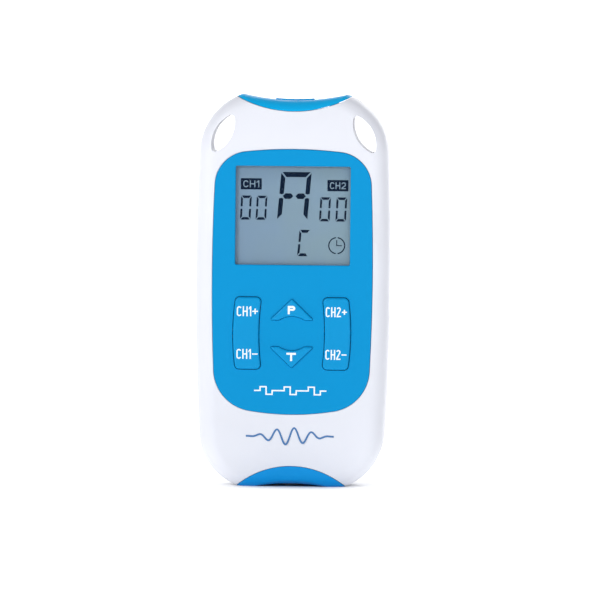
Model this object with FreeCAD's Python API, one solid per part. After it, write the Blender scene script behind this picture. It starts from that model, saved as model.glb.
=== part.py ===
import FreeCAD, Part
import math
import os

from FreeCAD import Vector

# Handheld two-channel nerve stimulator, standing upright on the two horns of its bottom end cap.
# Millimetres. X is across the front, Y runs from the front (low) to the back (high), Z is up.
# The origin is at the middle of the footprint, on the surface that the unit stands on.

# Case: outline seen from the front, and depth
CASE = {
    "half_width": 29.85, "waist_z": 67.0, "side_r": 870.0,
    "top_z": 121.8, "top_r": 4000.0, "top_corner_r": 20.0,
    "bottom_z": -1.1, "bottom_r": 4000.0, "bottom_corner_r": 18.0,
}
FRONT_Y = -16.0
BACK_Y = 10.0
SEAM_Y = (FRONT_Y + BACK_Y) / 2
SEAM_GROOVE = 0.35
WALL = 1.8
EDGE_ROLL = 5.5
CROWN_R = 110.0
CROWN_LOW_Z = 20.0
CROWN_HIGH_Z = 106.0
INNER_FRONT_Y = FRONT_Y + WALL
INNER_BACK_Y = BACK_Y - WALL

# Ends: hollowed scoops, and the blue caps that fill them
TOP_SCOOP_R = 70.0
TOP_SCOOP_Z = 118.6
BOTTOM_SCOOP_R = 58.0
BOTTOM_SCOOP_Z = 0.9
SCOOP_ROLL = 4.75
TOP_CAP_R = 36.0
TOP_CAP_CENTRE_Z = 151.2
BOTTOM_CAP_R = 25.75
BOTTOM_CAP_CENTRE_Z = -19.3
CAP_GAP = 0.15
TONGUE_CLEARANCE = 0.1

# Lanyard slots: pointed ellipses through both shells
SLOT_X = 21.7
SLOT_Z = 108.4
SLOT_HALF_LENGTH = 6.9
SLOT_HALF_WIDTH = 2.75
SLOT_END_R = 1.1
SLOT_TILT = 28.0
SLOT_WALL = 1.2

# Fascia and the floor under it
FASCIA = {
    "half_width": 24.6, "waist_z": 65.0, "side_r": 660.0,
    "top_z": 103.7, "top_r": 131.0, "top_corner_r": 10.5,
    "bottom_z": 22.3, "bottom_r": 80.0, "bottom_corner_r": 13.0,
}
FASCIA_Y = FRONT_Y - 0.2
FASCIA_BACK_Y = FRONT_Y + 1.2
FASCIA_GAP = 0.12
FLOOR_BACK_Y = FASCIA_BACK_Y + 1.0

# Display
WINDOW_HALF_X = 17.6
WINDOW_HALF_Z = 15.15
WINDOW_BEVEL = 0.25
WINDOW_Z = 83.35
LENS_THICK = 0.7
LENS_LIP = 1.2
LCD_HALF_X = 19.5
LCD_HALF_Z = 17.5
LCD_LEDGE = 2.0
LCD_Y = FASCIA_BACK_Y + 0.1
GLASS_THICK = 1.1
LCD_FRAME_WALL = 1.2

# Keys
KEY_Y = FRONT_Y - 0.85
KEY_BACK_Y = -12.8
KEY_ROUND = 0.62
KEY_ROW_Z = 47.2
ROCKER_X = 13.7
ROCKER_WIDTH = 7.9
ROCKER_HEIGHT = 22.1
ROCKER_BOW = 0.8
ROCKER_CORNER_R = 1.4
ROCKER_GAP = 0.2
PIVOT_Y = -12.95
PIVOT_R = 0.7
PIVOT_PLAY = 0.05
LUG_THICK = 1.3
ARROW_HALF_BASE = 6.9
ARROW_BASE_Z = 4.05
ARROW_APEX_Z = 10.65
ARROW_FLAT = 3.9
ARROW_CORNER_R = 0.35
ARROW_RISE = 1.2
ARROW_GAP = 0.1
ARROW_FLANGE = 0.8
DOME_ROCKER_Z = 8.0
DOME_ARROW_Z = 6.5

# Circuit board
BOARD_Y = -10.2
BOARD_BACK_Y = -8.6
BOARD_INSET = 3.2
BOARD_LOW_Z = 17.0
BOARD_HIGH_Z = 111.0

# Key mat on the board
MAT_Y = BOARD_Y - 0.9
DOME_TOP_Y = KEY_BACK_Y + 0.05
DOME_ROOF_Y = DOME_TOP_Y + 0.8

# Parts on the board's back: (x, z) of each middle, and the sizes that set them apart
CHIP_PLACE = (-12.0, 85.0)
CHIP_HALF = 5.0
CHIP_PITCH = 0.8
TRANSFORMER_PLACES = ((-10.5, 96.5), (10.5, 96.5))
TRANSFORMER_MID_Y = -4.0
CAN_PLACES = ((20.0, 79.5), (20.0, 87.0), (12.5, 74.5))
CAN_R = 3.15
CAN_HEIGHT = 7.8
INDUCTOR_PLACE = (1.5, 82.5)
CRYSTAL_PLACE = (-2.0, 74.0)
BUZZER_PLACE = (-16.0, 73.6)
BUZZER_R = 4.6
TRANSISTOR_PLACES = ((8.8, 81.0), (8.8, 86.0), (13.9, 81.0), (13.9, 86.0))
RESISTOR_PLACES = [(x, 79.0 + 2.4 * row) for x in (-24.5, -21.9) for row in range(6)]

# Batteries: two AA cells side by side
CELL_R = 7.15
CELL_BODY = 49.3
CELL_NUB = 1.2
CELL_NUB_R = 2.75
CELL_X = 7.55
CELL_Y = 0.95
CONTACT_THICK = 0.4
BAY_HALF_X = 15.1
BAY_FRONT_Y = -6.6
BAY_LOW_Z = 11.8
BAY_HIGH_Z = 66.7
BAY_WALL = 1.0
BAY_BOTTOM_CONTACT_Z = BAY_LOW_Z + CONTACT_THICK
BAY_TOP_CONTACT_Z = BAY_HIGH_Z - CONTACT_THICK

# Battery door, hinged at its top edge
DOOR_HALF_X = 16.2
DOOR_LOW_Z = 11.6
DOOR_THICK = 1.6
DOOR_GAP = 0.2
HINGE_R = 1.1
HINGE_Y = BACK_Y - HINGE_R
HINGE_Z = 69.3
HINGE_STUB_R = 0.6

# Screws
CASE_SCREWS = ((20.8, 30.0), (14.0, 106.5))
BOARD_SCREWS = ((23.4, 72.0), (23.4, 96.0))
SCREW_SEAT_Y = 4.4
SCREW_HEAD_R = 2.3
SCREW_HEAD_H = 1.6
SCREW_SHANK_R = 1.25
SCREW_TIP_Y = -13.4
BOARD_SCREW_R = 0.9

# Output sockets in the top cap
SOCKET_X = 3.0
SOCKET_R = 2.7
SOCKET_MOUTH_Z = 118.9
SOCKET_WELL_R = 2.1
SOCKET_FLOOR_Z = 110.0
SOCKET_BASE_Z = 107.8
SOCKET_FOOT_HALF_X = 2.5
SLEEVE_THICK = 0.2
PIN_R = 0.65
PIN_ROOT_R = 0.45
PIN_TIP_ROUND = 0.3
PIN_LOW_Z = 110.5
PIN_TOP_Z = 117.5
BLOCK_HALF_X = 5.85
BLOCK_HALF_Y = 5.4
BLOCK_PROUD = 0.4

# Belt clip on the back
CLIP_PIVOT_Y = 12.6
CLIP_PIVOT_Z = 103.0
CLIP_PIN_R = 1.0
CLIP_KNUCKLE_R = 1.9
CLIP_INNER_Y = 14.6
CLIP_OUTER_Y = 16.6
CLIP_LOW_Z = 72.0
CLIP_HIGH_Z = 113.0
CLIP_EAR_X = (4.9, 7.1)
CLIP_LUG_X = (7.4, 9.4)
SPRING_WIRE_R = 0.3
SPRING_COIL_R = 1.6
SPRING_TURNS = 5.5
SPRING_PITCH = 0.7
SPRING_LEG_TOP_Z = 108.6

FAR = 60.0


# Building blocks

def box(x, y, z):
    """Box from three (low, high) pairs."""
    corner = Vector(x[0], y[0], z[0])
    return Part.makeBox(x[1] - x[0], y[1] - y[0], z[1] - z[0], corner)


def rod_x(radius, x, y, z):
    """Cylinder along X over the pair x."""
    return Part.makeCylinder(radius, x[1] - x[0], Vector(x[0], y, z), Vector(1, 0, 0))


def rod_y(radius, x, y, z):
    """Cylinder along Y over the pair y."""
    return Part.makeCylinder(radius, y[1] - y[0], Vector(x, y[0], z), Vector(0, 1, 0))


def rod_z(radius, x, y, z):
    """Cylinder along Z over the pair z."""
    return Part.makeCylinder(radius, z[1] - z[0], Vector(x, y, z[0]), Vector(0, 0, 1))


def around(centre, half):
    """The pair that lies half to each side of centre."""
    return (centre - half, centre + half)


def fuse(shapes):
    """One solid from touching shapes."""
    return shapes[0].multiFuse(list(shapes[1:])).removeSplitter()


def edges_along_y(shape):
    """Edges that run straight along the depth."""
    return [e for e in shape.Edges if e.BoundBox.YLength > 0.99 * e.Length]


def edges_at_y(shape, y):
    """Edges that lie wholly in the plane at depth y."""
    bounds = [(e, e.BoundBox) for e in shape.Edges]
    return [e for e, b in bounds if max(abs(b.YMin - y), abs(b.YMax - y)) < 1e-4]


def edges_along_z(shape):
    """Edges that run straight up."""
    return [e for e in shape.Edges if e.BoundBox.ZLength > 0.99 * e.Length]


# Outlines

def outer_crossing(centre_a, radius_a, centre_b, radius_b):
    """The crossing of two circles in the XZ plane that lies furthest along X."""
    dx = centre_b[0] - centre_a[0]
    dz = centre_b[1] - centre_a[1]
    distance = math.hypot(dx, dz)
    along = (radius_a ** 2 - radius_b ** 2 + distance ** 2) / (2 * distance)
    across = math.sqrt(radius_a ** 2 - along ** 2)
    foot = (centre_a[0] + along * dx / distance, centre_a[1] + along * dz / distance)
    return max(
        (foot[0] + across * dz / distance, foot[1] - across * dx / distance),
        (foot[0] - across * dz / distance, foot[1] + across * dx / distance),
    )


def pushed_out(centre, through, radius):
    """The point at radius from centre, on the line through another point."""
    distance = math.hypot(through[0] - centre[0], through[1] - centre[1])
    scale = radius / distance
    return (centre[0] + scale * (through[0] - centre[0]), centre[1] + scale * (through[1] - centre[1]))


def outline_corner(side, end, corner_r, inset):
    """Start, middle and end of the arc that joins the side circle to an end circle."""
    (side_centre, side_r), (end_centre, end_r) = side, end
    centre = outer_crossing(side_centre, side_r - corner_r, end_centre, end_r - corner_r)
    start = pushed_out(side_centre, centre, side_r - inset)
    stop = pushed_out(end_centre, centre, end_r - inset)
    middle = pushed_out(centre, ((start[0] + stop[0]) / 2, (start[1] + stop[1]) / 2), corner_r - inset)
    return start, middle, stop


def outline_face(shape, inset, y):
    """Symmetric outline of bowed sides and ends with rounded corners, moved in by inset."""
    side = ((shape["half_width"] - shape["side_r"], shape["waist_z"]), shape["side_r"])
    top = ((0, shape["top_z"] - shape["top_r"]), shape["top_r"])
    bottom = ((0, shape["bottom_z"] + shape["bottom_r"]), shape["bottom_r"])
    t0, t1, t2 = outline_corner(side, top, shape["top_corner_r"], inset)
    b0, b1, b2 = outline_corner(side, bottom, shape["bottom_corner_r"], inset)
    waist = (shape["half_width"] - inset, shape["waist_z"])
    head = (0, shape["top_z"] - inset)
    foot = (0, shape["bottom_z"] + inset)

    def flip(p):
        return (-p[0], p[1])

    arcs = [
        (b0, waist, t0), (t0, t1, t2), (t2, head, flip(t2)), (flip(t2), flip(t1), flip(t0)),
        (flip(t0), flip(waist), flip(b0)), (flip(b0), flip(b1), flip(b2)),
        (flip(b2), foot, b2), (b2, b1, b0),
    ]
    edges = [Part.Arc(*[Vector(p[0], y, p[1]) for p in arc]).toShape() for arc in arcs]
    return Part.Face(Part.Wire(edges))


def outline_prism(shape, inset, y):
    """The outline, extruded over the pair y."""
    return outline_face(shape, inset, y[0]).extrude(Vector(0, y[1] - y[0], 0))


# Case

def crowned_slab(inset):
    """Slab across the width whose front and back fall away towards both ends."""
    radius = CROWN_R - inset
    high = CASE["top_z"] + 3 - CROWN_HIGH_Z
    low = -CROWN_LOW_Z - 3

    def face_points(sign, start, reach):
        points = []
        for dz in (0, reach / 2, reach):
            drop = CROWN_R - math.sqrt(radius ** 2 - dz ** 2)
            depth = (BACK_Y - FRONT_Y) / 2 - drop
            points.append(Vector(-FAR, SEAM_Y + sign * depth, start + dz))
        return points

    front_top = face_points(-1, CROWN_HIGH_Z, high)
    front_low = face_points(-1, CROWN_LOW_Z, low)
    back_top = face_points(1, CROWN_HIGH_Z, high)
    back_low = face_points(1, CROWN_LOW_Z, low)
    edges = [
        Part.LineSegment(front_low[0], front_top[0]).toShape(),
        Part.Arc(*front_top).toShape(),
        Part.LineSegment(front_top[2], back_top[2]).toShape(),
        Part.Arc(*reversed(back_top)).toShape(),
        Part.LineSegment(back_top[0], back_low[0]).toShape(),
        Part.Arc(*back_low).toShape(),
        Part.LineSegment(back_low[2], front_low[2]).toShape(),
        Part.Arc(*reversed(front_low)).toShape(),
    ]
    return Part.Face(Part.Wire(edges)).extrude(Vector(2 * FAR, 0, 0))


def envelope(inset):
    """The case's outer skin moved in by inset, as a solid, before its ends are hollowed."""
    body = outline_prism(CASE, inset, around(SEAM_Y, FAR)).common(crowned_slab(inset))
    reach = (BACK_Y - FRONT_Y) / 2 - EDGE_ROLL
    rim = []
    for edge in body.Edges:
        bounds = edge.BoundBox
        on_a_face = bounds.YMax < SEAM_Y - reach or bounds.YMin > SEAM_Y + reach
        to_crown = min(abs(bounds.ZMin - CROWN_LOW_Z), abs(bounds.ZMin - CROWN_HIGH_Z))
        across = bounds.ZLength < 0.01 and to_crown < 0.01
        if on_a_face and not across:
            rim.append(edge)
    return body.makeFillet(EDGE_ROLL - inset, rim)


def scoop(radius, centre_z):
    """Drum across the depth that hollows an end, flared where the end rolls into front and back."""
    roll = SCOOP_ROLL
    slant = roll * (1 - math.sqrt(0.5))

    def at(y, r):
        return Vector(0, y, centre_z + r)

    wide = radius + roll
    front_arc = Part.Arc(at(FRONT_Y, wide), at(FRONT_Y + slant, radius + slant), at(FRONT_Y + roll, radius))
    back_arc = Part.Arc(at(BACK_Y - roll, radius), at(BACK_Y - slant, radius + slant), at(BACK_Y, wide))
    corners = [at(BACK_Y, wide), at(BACK_Y + 1, wide), at(BACK_Y + 1, 0)]
    corners += [at(FRONT_Y - 1, 0), at(FRONT_Y - 1, wide), at(FRONT_Y, wide)]
    middle = Part.LineSegment(front_arc.EndPoint, back_arc.StartPoint)
    edges = [front_arc.toShape(), middle.toShape(), back_arc.toShape()]
    edges += [Part.LineSegment(a, b).toShape() for a, b in zip(corners, corners[1:])]
    return Part.Face(Part.Wire(edges)).revolve(Vector(0, 0, centre_z), Vector(0, 1, 0), 360)


def drum(radius, centre_z):
    """Plain drum across the whole depth."""
    return rod_y(radius, 0, around(SEAM_Y, FAR), centre_z)


def finished_block():
    """The whole unit's outer form, with both ends hollowed and the feet cut flat."""
    top = scoop(TOP_SCOOP_R, TOP_SCOOP_Z + TOP_SCOOP_R)
    bottom = scoop(BOTTOM_SCOOP_R, BOTTOM_SCOOP_Z - BOTTOM_SCOOP_R)
    above_ground = box(around(0, FAR), around(0, FAR), (0, 2 * FAR + 10))
    return envelope(0).cut(top).cut(bottom).common(above_ground)


def half_space(side):
    """Everything in front of the seam (side -1) or behind it (side 1)."""
    y = (SEAM_Y - FAR, SEAM_Y) if side < 0 else (SEAM_Y, SEAM_Y + FAR)
    return box(around(0, FAR), y, (-FAR, 3 * FAR))


def lanyard_leaf(side, grow):
    """Prism of a lanyard slot on one side: a leaf with rounded ends, grown outwards."""
    radius = (SLOT_HALF_LENGTH ** 2 + SLOT_HALF_WIDTH ** 2) / (2 * SLOT_HALF_WIDTH)
    offset = radius - SLOT_HALF_WIDTH
    depth = around(SEAM_Y, FAR / 2)
    leaf = rod_y(radius + grow, offset, depth, 0).common(rod_y(radius + grow, -offset, depth, 0))
    leaf = leaf.makeFillet(SLOT_END_R + grow, edges_along_y(leaf))
    leaf.rotate(Vector(0, 0, 0), Vector(0, 1, 0), -side * SLOT_TILT)
    leaf.translate(Vector(side * SLOT_X, 0, SLOT_Z))
    return leaf


def tongue(x, head_z, neck_z, clearance):
    """T-shaped tongue of an end cap: a neck through the end wall and a head behind it."""
    neck = box(around(x, 1.5 + clearance), around(SEAM_Y, 1.2 + clearance), neck_z)
    head = box(around(x, 2.4 + clearance), around(SEAM_Y, 2.0 + clearance), head_z)
    return neck.fuse(head)


def top_tongues(clearance):
    return [tongue(x, (113.8, 115.2), (115.2, 118.9), clearance) for x in (-12.0, 12.0)]


def bottom_tongues(clearance):
    return [tongue(x, (7.8, 9.0), (3.6, 7.8), clearance) for x in (-8.0, 8.0)]


def hollow_case(block):
    """Both shells in one piece: the walls, with the end caps' places left out."""
    cavity = envelope(WALL)
    cavity = cavity.cut(drum(TOP_CAP_R + WALL, TOP_CAP_CENTRE_Z))
    cavity = cavity.cut(drum(BOTTOM_CAP_R + WALL, BOTTOM_CAP_CENTRE_Z))
    walls = block.cut(cavity)
    walls = walls.cut(drum(TOP_CAP_R, TOP_CAP_CENTRE_Z)).cut(drum(BOTTOM_CAP_R, BOTTOM_CAP_CENTRE_Z))
    tubes = [lanyard_leaf(side, SLOT_WALL).common(block) for side in (-1, 1)]
    walls = walls.multiFuse(tubes)
    holes = [lanyard_leaf(side, 0) for side in (-1, 1)]
    holes += [rod_z(SOCKET_R + CAP_GAP, x, SEAM_Y, (112, 122)) for x in (-SOCKET_X, SOCKET_X)]
    holes += top_tongues(TONGUE_CLEARANCE) + bottom_tongues(TONGUE_CLEARANCE)
    for hole in holes:
        walls = walls.cut(hole)
    return walls


# Keys in plan

def rocker_face(side, grow):
    """Outline of a rocker key: a strip bowed away from the middle, at depth zero."""
    half_w = ROCKER_WIDTH / 2
    half_h = ROCKER_HEIGHT / 2
    end_x = side * (ROCKER_X - ROCKER_BOW / 2)
    mid_x = side * (ROCKER_X + ROCKER_BOW / 2)

    def at(x, z):
        return Vector(x, 0, KEY_ROW_Z + z)

    left = Part.Arc(at(end_x - half_w, -half_h), at(mid_x - half_w, 0), at(end_x - half_w, half_h))
    right = Part.Arc(at(end_x + half_w, half_h), at(mid_x + half_w, 0), at(end_x + half_w, -half_h))
    edges = [
        left.toShape(), Part.LineSegment(left.EndPoint, right.StartPoint).toShape(),
        right.toShape(), Part.LineSegment(right.EndPoint, left.StartPoint).toShape(),
    ]
    return rounded_face(edges, ROCKER_CORNER_R, grow)


def arrow_face(side, grow):
    """Outline of an arrow key that points up (side 1) or down (side -1), at depth zero."""
    def at(x, z):
        return Vector(x, 0, KEY_ROW_Z + side * z)

    base = ARROW_BASE_Z
    tip = at(0, ARROW_APEX_Z)
    hollow = Part.Arc(at(-ARROW_FLAT, base), at(0, base + ARROW_RISE), at(ARROW_FLAT, base))
    edges = [
        hollow.toShape(),
        Part.LineSegment(at(ARROW_FLAT, base), at(ARROW_HALF_BASE, base)).toShape(),
        Part.LineSegment(at(ARROW_HALF_BASE, base), tip).toShape(),
        Part.LineSegment(tip, at(-ARROW_HALF_BASE, base)).toShape(),
        Part.LineSegment(at(-ARROW_HALF_BASE, base), at(-ARROW_FLAT, base)).toShape(),
    ]
    return rounded_face(edges, ARROW_CORNER_R, grow)


def rounded_face(edges, corner_r, grow):
    """Face inside the edges, with rounded corners, then grown outwards."""
    prism = Part.Face(Part.Wire(edges)).extrude(Vector(0, 1, 0))
    prism = prism.makeFillet(corner_r, edges_along_y(prism))
    face = [f for f in prism.Faces if f.BoundBox.YMax < 1e-6][0]
    return face.makeOffset2D(grow) if grow else face


def raised(face, y):
    """A plan outline extruded over the pair y."""
    solid = face.extrude(Vector(0, y[1] - y[0], 0))
    solid.translate(Vector(0, y[0], 0))
    return solid


# Shells

def screw_places(places):
    """Every screw place on both sides."""
    return [(side * x, z) for x, z in places for side in (-1, 1)]


def rocker_lugs():
    """Bearing ears for the rockers, open at the back so that the pivots snap in."""
    lugs = []
    for side in (-1, 1):
        middle = side * (ROCKER_X + ROCKER_BOW / 2)
        for edge in (-1, 1):
            near = ROCKER_WIDTH / 2 + ROCKER_GAP
            x = sorted((middle + edge * near, middle + edge * (near + LUG_THICK)))
            lug = box(x, (FLOOR_BACK_Y - 0.4, PIVOT_Y + 1.15), around(KEY_ROW_Z, 1.6))
            lug = lug.cut(rod_x(PIVOT_R + PIVOT_PLAY, x, PIVOT_Y, KEY_ROW_Z))
            lug = lug.cut(box(x, (PIVOT_Y, PIVOT_Y + 2), around(KEY_ROW_Z, PIVOT_R - 0.12)))
            lugs.append(lug)
    return lugs


def front_shell(walls):
    shell = walls.common(half_space(-1))
    floor = outline_prism(FASCIA, -FASCIA_GAP - 0.5, (FASCIA_BACK_Y, FLOOR_BACK_Y))
    parts = [shell, floor] + rocker_lugs()
    for x, z in screw_places(CASE_SCREWS):
        parts.append(rod_y(2.8, x, (INNER_FRONT_Y - 0.3, BOARD_Y), z))
    for x, z in screw_places(BOARD_SCREWS):
        parts.append(rod_y(2.2, x, (INNER_FRONT_Y - 0.3, BOARD_Y), z))
    shell = fuse(parts)
    shell = shell.cut(outline_prism(FASCIA, -FASCIA_GAP, (FRONT_Y - 1, FASCIA_BACK_Y)))
    through = (FASCIA_BACK_Y - 1, FLOOR_BACK_Y + 0.2)
    holes = [box(around(0, LCD_HALF_X + 0.2), through, around(WINDOW_Z, LCD_HALF_Z + 0.2))]
    for side in (-1, 1):
        holes.append(raised(rocker_face(side, ROCKER_GAP + 0.15), through))
        holes.append(raised(arrow_face(side, 2 * ARROW_GAP), through))
        holes.append(lanyard_leaf(side, 0))
    for x, z in screw_places(CASE_SCREWS):
        holes.append(rod_y(SCREW_SHANK_R + 0.05, x, (SCREW_TIP_Y - 0.1, BOARD_Y + 1), z))
    for x, z in screw_places(BOARD_SCREWS):
        holes.append(rod_y(BOARD_SCREW_R + 0.05, x, (SCREW_TIP_Y - 0.1, BOARD_Y + 1), z))
    for hole in holes:
        shell = shell.cut(hole)
    return shell


def door_opening():
    """Space that the battery door fills, with its gap, down to the bay's walls."""
    x = around(0, DOOR_HALF_X + DOOR_GAP)
    z = (DOOR_LOW_Z - DOOR_GAP, HINGE_Z + HINGE_R + DOOR_GAP / 2)
    recess = box(x, (HINGE_Y - 3, BACK_Y + 2), z).cut(envelope(DOOR_THICK + 0.15))
    hinge_room = box(x, (HINGE_Y - HINGE_R - 0.6, BACK_Y + 2), (BAY_HIGH_Z + 1.2, z[1]))
    return recess.fuse(hinge_room)


def battery_bay():
    """Tub for the two cells, with a wider rim that joins it to the back wall."""
    tub_y = (BAY_FRONT_Y - BAY_WALL, INNER_BACK_Y)
    tub = box(around(0, BAY_HALF_X + BAY_WALL), tub_y, (BAY_LOW_Z - 1.2, BAY_HIGH_Z + 1.2))
    rim_y = (HINGE_Y - 3.3, INNER_BACK_Y + 0.1)
    rim = box(around(0, DOOR_HALF_X + 2.4), rim_y, (BAY_LOW_Z - 2.0, HINGE_Z + 2.7))
    return tub.fuse(rim)


def seam_groove():
    """Fine groove round the case where the two shells meet."""
    strip = box(around(0, FAR), (SEAM_Y, SEAM_Y + SEAM_GROOVE), (0, 2 * FAR + 10))
    return strip.cut(envelope(SEAM_GROOVE))


def clip_lugs():
    """Two ears on the back that carry the belt clip's pin, and a seat for its spring."""
    lugs = []
    for side in (-1, 1):
        x = sorted((side * CLIP_LUG_X[0], side * CLIP_LUG_X[1]))
        lugs.append(rod_x(CLIP_KNUCKLE_R, x, CLIP_PIVOT_Y, CLIP_PIVOT_Z))
        lugs.append(box(x, (BACK_Y - 0.6, CLIP_PIVOT_Y), around(CLIP_PIVOT_Z, CLIP_KNUCKLE_R)))
    lugs.append(box(around(0, 3.4), (BACK_Y - 0.6, BACK_Y + 0.6), (107.0, 109.6)))
    return lugs


def rear_shell(walls):
    shell = walls.common(half_space(1))
    parts = [shell, battery_bay()] + clip_lugs()
    for x, z in screw_places(CASE_SCREWS):
        parts.append(rod_y(3.2, x, (BOARD_BACK_Y, INNER_BACK_Y + 0.3), z))
        parts.append(rod_y(3.6, x, (SCREW_SEAT_Y - 1.2, INNER_BACK_Y + 0.3), z))
    shell = fuse(parts)
    well = box(around(0, BAY_HALF_X), (BAY_FRONT_Y, INNER_BACK_Y + 3), (BAY_LOW_Z, BAY_HIGH_Z))
    holes = [well, door_opening(), thumb_notch(), seam_groove()]
    stub_x = DOOR_HALF_X + 1.4
    holes.append(rod_x(HINGE_STUB_R + 0.06, around(0, stub_x), HINGE_Y, HINGE_Z))
    holes.append(rod_x(CLIP_PIN_R + 0.02, around(0, 12), CLIP_PIVOT_Y, CLIP_PIVOT_Z))
    for x in (-CELL_X, CELL_X):
        slot_z = (BAY_HIGH_Z - CONTACT_THICK - 0.1, BAY_HIGH_Z + 0.1)
        holes.append(box(around(x, 1.6), (BAY_FRONT_Y - 2, BAY_FRONT_Y + 0.1), slot_z))
    for x, z in screw_places(CASE_SCREWS):
        holes.append(rod_y(SCREW_SHANK_R + 0.2, x, (BOARD_BACK_Y - 1, BACK_Y), z))
        holes.append(rod_y(SCREW_HEAD_R + 0.25, x, (SCREW_SEAT_Y, BACK_Y + 2), z))
    for hole in holes:
        shell = shell.cut(hole)
    return shell


def thumb_notch():
    """Shallow hollow across the door's lower edge, where a thumbnail lifts it."""
    return rod_x(7.0, around(0, 6.0), BACK_Y + 6.1, DOOR_LOW_Z - 0.6)


# Fascia, caps and keys

def fascia():
    plate = outline_prism(FASCIA, 0, (FASCIA_Y, FASCIA_BACK_Y))
    plate = plate.makeFillet(0.3, edges_at_y(plate, FASCIA_Y))
    through = (FASCIA_Y - 1, FASCIA_BACK_Y + 1)
    window = box(around(0, WINDOW_HALF_X), through, around(WINDOW_Z, WINDOW_HALF_Z))
    window = window.makeFillet(0.5, edges_along_y(window))
    lens_y = FASCIA_BACK_Y - LENS_THICK
    rebate_x = around(0, WINDOW_HALF_X + LENS_LIP + 0.1)
    rebate = box(rebate_x, (lens_y, FASCIA_BACK_Y + 1), around(WINDOW_Z, WINDOW_HALF_Z + LENS_LIP + 0.1))
    plate = plate.cut(window)
    rim = [e for e in edges_at_y(plate, FASCIA_Y) if inside_window(e)]
    plate = plate.makeChamfer(WINDOW_BEVEL, rim).cut(rebate)
    for side in (-1, 1):
        plate = plate.cut(raised(rocker_face(side, ROCKER_GAP), through))
        plate = plate.cut(raised(arrow_face(side, ARROW_GAP), through))
    return plate


def inside_window(edge):
    """True for an edge on the window's rim."""
    bounds = edge.BoundBox
    across = max(abs(bounds.XMin), abs(bounds.XMax)) < WINDOW_HALF_X + 0.01
    upright = max(abs(bounds.ZMin - WINDOW_Z), abs(bounds.ZMax - WINDOW_Z)) < WINDOW_HALF_Z + 0.01
    return across and upright


def top_end_cap(block):
    zone = drum(TOP_CAP_R - CAP_GAP, TOP_CAP_CENTRE_Z)
    cap = block.common(zone)
    step = box(around(0, BLOCK_HALF_X), around(SEAM_Y, BLOCK_HALF_Y), (117.0, 122.0))
    step = step.cut(drum(TOP_SCOOP_R - BLOCK_PROUD, TOP_SCOOP_Z + TOP_SCOOP_R)).common(zone)
    step = step.makeFillet(0.8, edges_along_z(step))
    cap = fuse([cap, step] + top_tongues(0))
    for x in (-SOCKET_X, SOCKET_X):
        cap = cap.cut(rod_z(SOCKET_R + 0.05, x, SEAM_Y, (100, 130)))
    return cap


def bottom_end_cap(block):
    cap = block.common(drum(BOTTOM_CAP_R - CAP_GAP, BOTTOM_CAP_CENTRE_Z))
    return fuse([cap] + bottom_tongues(0))


def rocker_key(side):
    """Rocker with a hub across its back and a pivot stub at each side."""
    bar = raised(rocker_face(side, 0), (KEY_Y, KEY_BACK_Y))
    bar = bar.makeFillet(KEY_ROUND, edges_at_y(bar, KEY_Y))
    middle = side * (ROCKER_X + ROCKER_BOW / 2)
    half = ROCKER_WIDTH / 2
    hub = rod_x(1.1, around(middle, half - 0.1), PIVOT_Y, KEY_ROW_Z)
    stubs = rod_x(PIVOT_R, around(middle, half + ROCKER_GAP + LUG_THICK), PIVOT_Y, KEY_ROW_Z)
    return fuse([bar, hub, stubs])


def arrow_key(side):
    """Arrow-shaped push key, kept in by a flange behind the floor."""
    stem = raised(arrow_face(side, 0), (KEY_Y, KEY_BACK_Y))
    stem = stem.makeFillet(KEY_ROUND, edges_at_y(stem, KEY_Y))
    flange = raised(arrow_face(side, ARROW_FLANGE), (FLOOR_BACK_Y + 0.05, KEY_BACK_Y))
    return fuse([stem, flange])


# Display

def display_lens():
    y = (FASCIA_BACK_Y - LENS_THICK, FASCIA_BACK_Y)
    lens = box(around(0, WINDOW_HALF_X + LENS_LIP), y, around(WINDOW_Z, WINDOW_HALF_Z + LENS_LIP))
    return lens.makeFillet(0.6, edges_along_y(lens))


def lcd_cell():
    """Two glass plates; the front one overhangs at top and bottom, where its contacts are."""
    front = box(around(0, LCD_HALF_X), (LCD_Y, LCD_Y + GLASS_THICK), around(WINDOW_Z, LCD_HALF_Z))
    rear_y = (LCD_Y + GLASS_THICK, LCD_Y + 2 * GLASS_THICK)
    rear = box(around(0, LCD_HALF_X), rear_y, around(WINDOW_Z, LCD_HALF_Z - LCD_LEDGE))
    return front.fuse(rear)


def lcd_frame():
    """Holder that presses the glass forward off the circuit board."""
    y = (FLOOR_BACK_Y + 0.05, BOARD_Y)
    inner_x = LCD_HALF_X + 0.1
    inner_z = LCD_HALF_Z + 0.2
    outer = box(around(0, inner_x + LCD_FRAME_WALL), y, around(WINDOW_Z, inner_z + LCD_FRAME_WALL))
    frame = outer.cut(box(around(0, inner_x), (y[0] - 1, y[1] + 1), around(WINDOW_Z, inner_z)))
    tray_y = (LCD_Y + 2 * GLASS_THICK, LCD_Y + 2 * GLASS_THICK + 1.2)
    tray = box(around(0, inner_x + 0.2), tray_y, around(WINDOW_Z, LCD_HALF_Z - LCD_LEDGE - 0.1))
    return frame.fuse(tray)


def zebra_strips():
    """Two elastomer strips that carry the display's signals to the board."""
    strips = []
    for side in (-1, 1):
        z = WINDOW_Z + side * (LCD_HALF_Z - LCD_LEDGE / 2)
        strips.append(box(around(0, 17.0), (LCD_Y + GLASS_THICK, BOARD_Y), around(z, 0.8)))
    return Part.makeCompound(strips)


# Key mat and board

def dome_places():
    """Where the six domes stand: two behind each rocker and one behind each arrow."""
    places = [(0, KEY_ROW_Z + DOME_ARROW_Z), (0, KEY_ROW_Z - DOME_ARROW_Z)]
    for side in (-1, 1):
        places += [(side * ROCKER_X, KEY_ROW_Z + dz) for dz in (-DOME_ROCKER_Z, DOME_ROCKER_Z)]
    return places


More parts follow.
